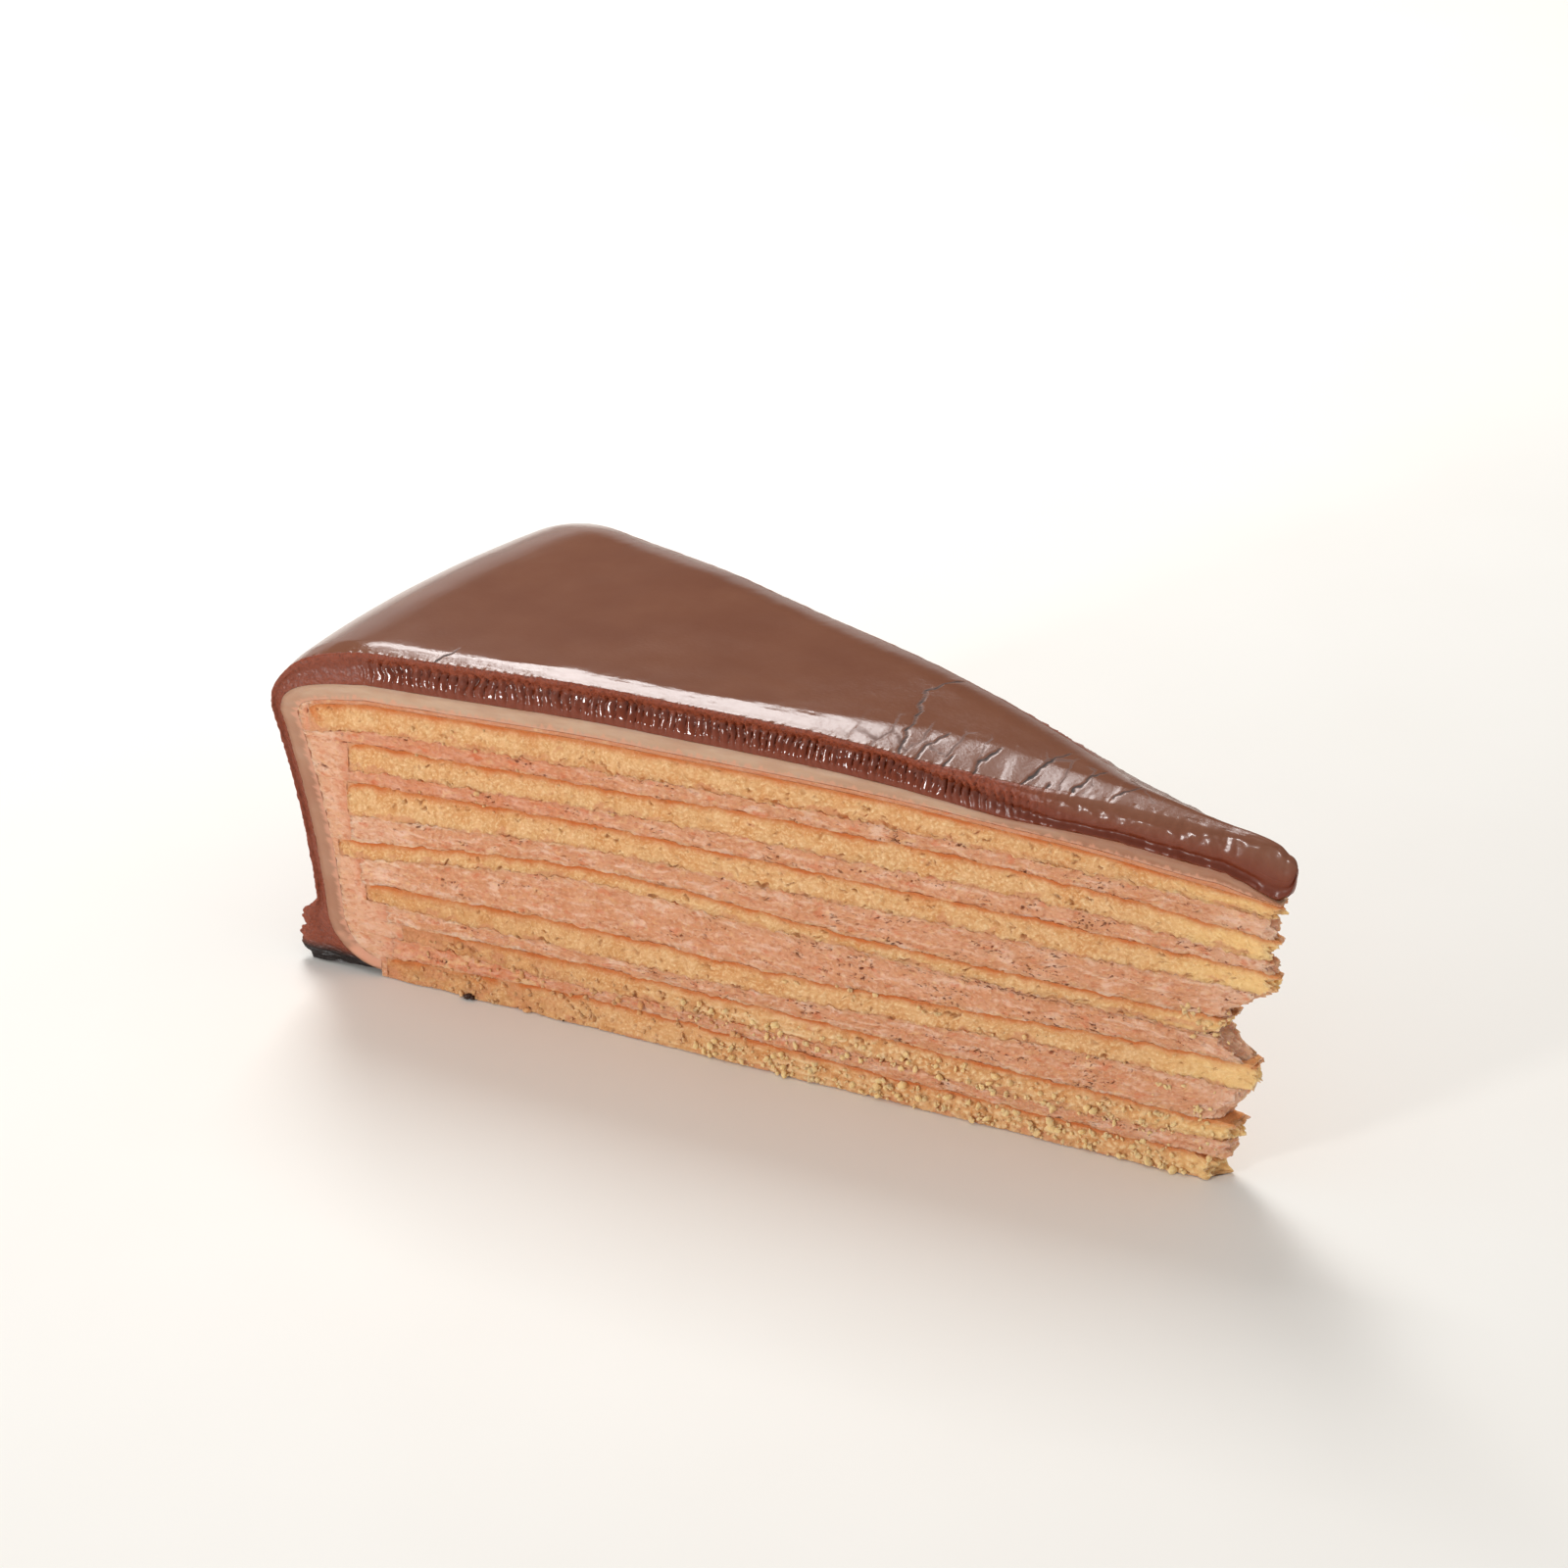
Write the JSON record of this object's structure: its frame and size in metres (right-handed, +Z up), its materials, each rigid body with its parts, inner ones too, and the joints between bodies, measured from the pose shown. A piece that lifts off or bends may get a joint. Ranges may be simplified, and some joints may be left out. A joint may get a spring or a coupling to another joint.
{
  "type": "cake slice",
  "caption": "Wedge of layered torte: thin sponges with buttercream between them, marzipan, and a chocolate glaze over the top and the rim.",
  "frame": {"origin": "middle of the slice's overall length and width, on the plane it rests on", "axes": "+X from the glazed rim towards the tip, +Y towards the cut face that is hidden in the picture, +Z up through the layers"},
  "size_m": [0.1328, 0.0522, 0.0476],
  "materials": {
    "glaze": "satin chocolate glaze, glossy where it is cut and at its rolled edges",
    "marzipan": "smooth, waxy, pale beige",
    "cream": "matt buttercream with small tears",
    "sponge": "matt, porous crumb with a browned upper skin"
  },
  "bodies": {
    "root": {"glaze": "glaze", "marzipan": "marzipan", "cream_coat": "cream", "sponge_7": "sponge", "cream_6": "cream", "sponge_6": "sponge", "cream_5": "cream", "sponge_5": "sponge", "cream_4": "cream", "sponge_4": "sponge", "cream_3": "cream", "sponge_3": "sponge", "cream_2": "cream", "sponge_2": "sponge", "cream_1": "cream", "sponge_1": "sponge"}
  },
  "joints": []
}
